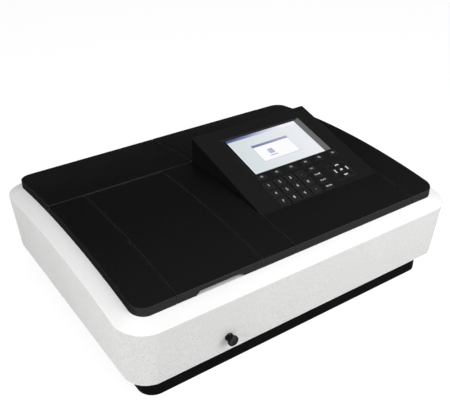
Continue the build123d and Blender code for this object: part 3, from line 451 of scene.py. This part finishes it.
number_words = "1 2 3 . 4 5 6 0 7 8 9 -".split()
function_words = "F1 F2 F3 F4 F5 F6".split()
side_words = "ESC CLEAR START ENTER".split()
for k, words in enumerate(number_words):
    column, row = k % NUMBER_COLUMNS, NUMBER_ROWS - 1 - k // NUMBER_COLUMNS
    x, y = NUMBER_X + NUMBER_PITCH_X * column, NUMBER_Y + NUMBER_PITCH_Y * row
    print_legend(words, NUMBER_SIZE, f"number_key_{k + 1}", x, y)
for k, words in enumerate(function_words):
    print_legend(words, FUNCTION_SIZE, f"function_key_{k + 1}", FUNCTION_X + FUNCTION_PITCH * k, FUNCTION_Y)
for k, words in enumerate(side_words):
    row = len(side_words) - 1 - k
    print_legend(words, SIDE_SIZE, f"side_key_{k + 1}", SIDE_X, SIDE_Y + SIDE_PITCH * row)
print("printed", len(number_words) + len(function_words) + len(side_words), "legends")

# %% [markdown]
# ## The arcs on the arrow pad
# Each arrow key carries a white arc instead of a word. A short edge spun about the pad's middle sweeps out a curved
# strip, as a compass would strike it. The spin turns clockwise, so the edge starts on the arc's left end. Solidify then
# gives the strip the print's thickness.

# %% Arcs
PAD_X, PAD_Y = 166.4, 30.4
ARC_INNER, ARC_OUTER, ARC_SWEEP = 11.6, 13.6, 36.0
ARC_STEPS = 14
ARC_DEPTH = 0.05
ARC_LIFT = 0.03


def arc_strip(inner, outer, sweep, middle):
    nothing_selected()
    bpy.ops.mesh.primitive_plane_add(size=1)
    strip = bpy.context.object
    first = math.radians(middle + sweep / 2)
    bpy.ops.object.mode_set(mode="EDIT")
    bpy.ops.mesh.delete(type="ONLY_FACE")
    bpy.ops.object.mode_set(mode="OBJECT")
    for vertex, radius in zip(strip.data.vertices, (inner, outer, inner, outer)):
        vertex.co = (radius * MM * math.cos(first), radius * MM * math.sin(first), 0)
    bpy.ops.object.mode_set(mode="EDIT")
    bpy.ops.mesh.select_all(action="SELECT")
    bpy.ops.mesh.remove_doubles(threshold=0.00001)
    bpy.ops.mesh.select_all(action="SELECT")
    bpy.ops.mesh.spin(steps=ARC_STEPS, angle=math.radians(sweep), center=(0, 0, 0), axis=(0, 0, 1))
    bpy.ops.object.mode_set(mode="OBJECT")
    solid = strip.modifiers.new("thickness", "SOLIDIFY")
    solid.thickness = ARC_DEPTH * MM
    bpy.ops.object.modifier_apply(modifier=solid.name)
    return strip


for key, middle in (("pad_key_right", 0), ("pad_key_up", 90), ("pad_key_left", 180), ("pad_key_down", 270)):
    place = PANEL @ Matrix.Translation((PAD_X * MM, PAD_Y * MM, (KEY_TOP + ARC_LIFT) * MM))
    settle(arc_strip(ARC_INNER, ARC_OUTER, ARC_SWEEP, middle), place, key, legend_white, "arc_" + key)
middle_mark = plate(width=4.6, depth=3.2, height=0.04, corner=0.6, z=KEY_TOP)
place = PANEL @ Matrix.Translation((PAD_X * MM, PAD_Y * MM, 0))
settle(middle_mark, place, "pad_key_middle", legend_white, "mark_pad_key_middle")
print("arcs struck")

# %% [markdown]
# ## The picture on the screen
# The screen is lit: a pale grey-blue ground, a bar along its top that fades from dark blue to white, and a white
# window with a grey-blue title in its middle. Each is a thin plate that glows by itself. The plates lie one above the
# other by a few hundredths of a millimetre, and the fades run along the panel's width on Object coordinates.

# %% Glowing finishes
def glowing(name, colour):
    material = bpy.data.materials.new(name)
    material.use_nodes = True
    shader = material.node_tree.nodes["Principled BSDF"]
    shader.inputs["Base Color"].default_value = (0.02, 0.02, 0.02, 1)
    shader.inputs["Roughness"].default_value = 0.4
    shader.inputs["Emission Strength"].default_value = 1.0
    shader.inputs["Emission Color"].default_value = (*colour, 1)
    return material


def fading(name, stops, start_x, end_x):
    """A glow that changes along X between two places on the panel."""
    material = glowing(name, stops[0])
    tree = material.node_tree
    along = tree.nodes.new("ShaderNodeMapRange")
    along.inputs["From Min"].default_value, along.inputs["From Max"].default_value = start_x * MM, end_x * MM
    tree.links.new(object_axes(tree)["X"], along.inputs["Value"])
    ramp = tree.nodes.new("ShaderNodeValToRGB")
    for k, colour in enumerate(stops):
        element = ramp.color_ramp.elements[k] if k < 2 else ramp.color_ramp.elements.new(k / (len(stops) - 1))
        element.position = k / (len(stops) - 1)
        element.color = (*colour, 1)
    tree.links.new(along.outputs["Result"], ramp.inputs["Fac"])
    tree.links.new(ramp.outputs["Color"], tree.nodes["Principled BSDF"].inputs["Emission Color"])
    return material


screen_ground = fading("screen ground", [(0.60, 0.66, 0.68), (0.76, 0.78, 0.82)], 30, 180)
screen_bar = fading("screen bar", [(0.035, 0.05, 0.19), (0.16, 0.19, 0.38), (0.55, 0.58, 0.72), (0.86, 0.88, 0.93)],
                    30, 150)
screen_line = glowing("screen line", (0.95, 0.96, 0.97))
screen_window = glowing("screen window", (0.90, 0.90, 0.93))
screen_title = fading("screen title", [(0.09, 0.11, 0.26), (0.30, 0.33, 0.48)], 65, 140)
screen_mark = glowing("screen mark", (0.40, 0.42, 0.56))
# Painted light: a paler grey for the recess slope that faces the light.
painted_light_wall = finish_from("screen wall painted light", (0.105, 0.105, 0.105), (0.12, 0.12, 0.12), roughness=(0.4, 0.5), grain=1400.0,
                        bump=0.05, Specular_IOR_Level=0.1)
print("screen finishes made")

# %% Screen plates
SCREEN_X0, SCREEN_X1, SCREEN_Y0, SCREEN_Y1 = 30.4, 180.3, 83.0, 178.5
SCREEN_BACK = -5.5
LAP = 0.6
BAR_Y = 172.6
LINE_Y0, LINE_Y1 = 83.2, 85.6
LINE_X1 = 32.2
WINDOW_X0, WINDOW_X1, WINDOW_Y0, WINDOW_Y1 = 65.0, 141.0, 108.0, 150.0
WINDOW_EDGE = 0.8
TITLE_Y0, TITLE_Y1 = 144.4, 144.8
PLATE_DEPTH, LAYER = 0.03, 0.04


def lit_plate(name, x0, x1, y0, y1, layer, material, corner=0.3):
    """A glowing plate on the panel, between two places along X and two along Y, on one of the screen's layers."""
    lift = SCREEN_BACK + layer * LAYER
    piece = plate(x1 - x0, y1 - y0, PLATE_DEPTH, corner, (x0 + x1) / 2, (y0 + y1) / 2, lift)
    return settle(piece, PANEL, "instrument", material, name)


lit_plate("screen_ground", SCREEN_X0 - LAP, SCREEN_X1 + LAP, SCREEN_Y0 - LAP, SCREEN_Y1 + LAP, 0, screen_ground)
lit_plate("screen_bar", SCREEN_X0 - LAP, SCREEN_X1 + LAP, BAR_Y, SCREEN_Y1 + LAP, 1, screen_bar)
lit_plate("screen_line_low", SCREEN_X0, SCREEN_X1, LINE_Y0, LINE_Y1, 1, screen_line)
lit_plate("screen_line_left", SCREEN_X0, LINE_X1, LINE_Y1, BAR_Y, 1, screen_line)
lit_plate("screen_window_edge", WINDOW_X0 - WINDOW_EDGE, WINDOW_X1 + WINDOW_EDGE,
          WINDOW_Y0 - WINDOW_EDGE, WINDOW_Y1 + WINDOW_EDGE, 1, screen_mark)
lit_plate("screen_window", WINDOW_X0, WINDOW_X1, WINDOW_Y0, TITLE_Y0, 2, screen_window)
lit_plate("screen_title", WINDOW_X0, WINDOW_X1, TITLE_Y1, WINDOW_Y1, 2, screen_title)
lit_plate("screen_sign", 86.0, 97.0, 121.0, 133.0, 3, screen_mark, corner=1.5)
lit_plate("screen_sign_low", 84.0, 99.0, 115.5, 118.0, 3, screen_mark, corner=0.5)
print("screen lit")

# %% [markdown]
# ## The screen's right wall and the pad's square
# The recess slopes down to the screen on both sides. Only the right slope faces the light, and it is painted light: a
# paler, smoother strip, a thin plate laid on the slope, stands for the light it catches. A fine line marks a square
# round the arrow pad, as a moulded step would. It is made of four thin plates that are joined.

# %% Right wall
# The plate's paler grey is painted light on the slope that faces the light.
SLOPE_WIDTH, SLOPE_DEPTH = 9.2, 4.0
STRIP_DEPTH = 0.05
slope_angle = math.atan2(SLOPE_DEPTH, SLOPE_WIDTH)
slope_length = math.hypot(SLOPE_DEPTH, SLOPE_WIDTH)
strip = plate(slope_length - 1.0, SCREEN_Y1 - SCREEN_Y0 - LAP, STRIP_DEPTH, corner=0.2)
slope_middle = Vector((SCREEN_X1 + SLOPE_WIDTH / 2, (SCREEN_Y0 + SCREEN_Y1) / 2, -SLOPE_DEPTH / 2)) * MM
slope = PANEL @ Matrix.Translation(slope_middle) @ Matrix.Rotation(-slope_angle, 4, "Y")
settle(strip, slope, "instrument", painted_light_wall, "screen_right_wall_painted_light")
print("slope laid")

# %% Pad square
line_grey = finish_from("pad line", (0.03, 0.03, 0.031), (0.04, 0.04, 0.041), bump=0.02, Specular_IOR_Level=0.05)
SQUARE, LINE = 37.0, 0.5
half = SQUARE / 2
lines = []
for dx, dy, width, depth in ((0, half, SQUARE, LINE), (0, -half, SQUARE, LINE),
                             (half, 0, LINE, SQUARE), (-half, 0, LINE, SQUARE)):
    lines.append(plate(width, depth, STRIP_DEPTH, 0.1, PAD_X + dx, PAD_Y + dy))
settle(join(lines), PANEL, "instrument", line_grey, "pad_square")
print("square drawn")

# %% [markdown]
# ## Floor, backdrop and light
# The photograph is a cut-out on pure white, so the world and the floor are white where the camera, a mirror or a
# pane of glass looks at them. The light on the instrument stays at a plain level: a soft light from the front right,
# a weaker one from the left and a broad one above. The floor keeps a faint shadow, so the base stands on it.

# %% World
def seen_directly(tree):
    """One where the camera looks, by itself or through glass or a reflection, and nought for the light that falls."""
    path = tree.nodes.new("ShaderNodeLightPath")
    shown = math_node(tree, "MAXIMUM", path.outputs["Is Camera Ray"], path.outputs["Is Transmission Ray"])
    return math_node(tree, "MAXIMUM", shown, path.outputs["Is Glossy Ray"])


world = bpy.data.worlds.new("studio")
bpy.context.scene.world = world
world.use_nodes = True
tree = world.node_tree
background = tree.nodes["Background"]
background.inputs["Color"].default_value = (0.36, 0.36, 0.365, 1)
white = tree.nodes.new("ShaderNodeBackground")
white.inputs["Color"].default_value = (1, 1, 1, 1)
mixer = tree.nodes.new("ShaderNodeMixShader")
tree.links.new(seen_directly(tree), mixer.inputs["Fac"])
tree.links.new(background.outputs["Background"], mixer.inputs[1])
tree.links.new(white.outputs["Background"], mixer.inputs[2])
tree.links.new(mixer.outputs["Shader"], tree.nodes["World Output"].inputs["Surface"])
print("world", world.name)

# %% Floor
FLOOR_SIZE = 12
FLOOR_GLOW = 1.12
GLOW_SHARE = 0.8
bpy.ops.object.select_all(action="DESELECT")
bpy.ops.mesh.primitive_plane_add(size=FLOOR_SIZE, location=(0, 0, 0))
floor = bpy.context.object
floor.name = "floor"
floor_paint = bpy.data.materials.new("white floor")
floor_paint.use_nodes = True
tree = floor_paint.node_tree
paint = tree.nodes["Principled BSDF"]
paint.inputs["Base Color"].default_value = (0.8, 0.8, 0.8, 1)
paint.inputs["Roughness"].default_value = 0.9
glow = tree.nodes.new("ShaderNodeEmission")
glow.inputs["Color"].default_value = (1, 1, 1, 1)
glow.inputs["Strength"].default_value = FLOOR_GLOW
mixer = tree.nodes.new("ShaderNodeMixShader")
tree.links.new(math_node(tree, "MULTIPLY", seen_directly(tree), GLOW_SHARE), mixer.inputs["Fac"])
tree.links.new(paint.outputs["BSDF"], mixer.inputs[1])
tree.links.new(glow.outputs["Emission"], mixer.inputs[2])
tree.links.new(mixer.outputs["Shader"], tree.nodes["Material Output"].inputs["Surface"])
floor.data.materials.append(floor_paint)
print("floor laid")


# %% Lamps
def soft_lamp(name, place, aim, width, height, power):
    data = bpy.data.lights.new(name, "AREA")
    data.shape, data.size, data.size_y, data.energy = "RECTANGLE", width, height, power
    lamp = bpy.data.objects.new(name, data)
    bpy.context.scene.collection.objects.link(lamp)
    lamp.location = place
    lamp.rotation_euler = (Vector(aim) - Vector(place)).to_track_quat("-Z", "Y").to_euler()
    return lamp


soft_lamp("front lamp", place=(0.55, -1.35, 0.85), aim=(0.05, -0.1, 0.12), width=1.0, height=0.7, power=20)
soft_lamp("side lamp", place=(-1.6, -0.45, 0.50), aim=(-0.2, 0, 0.12), width=1.0, height=0.6, power=17)
soft_lamp("top lamp", place=(-0.2, -0.6, 2.2), aim=(0, 0, 0.15), width=1.6, height=1.6, power=14)
print("lamps hung")
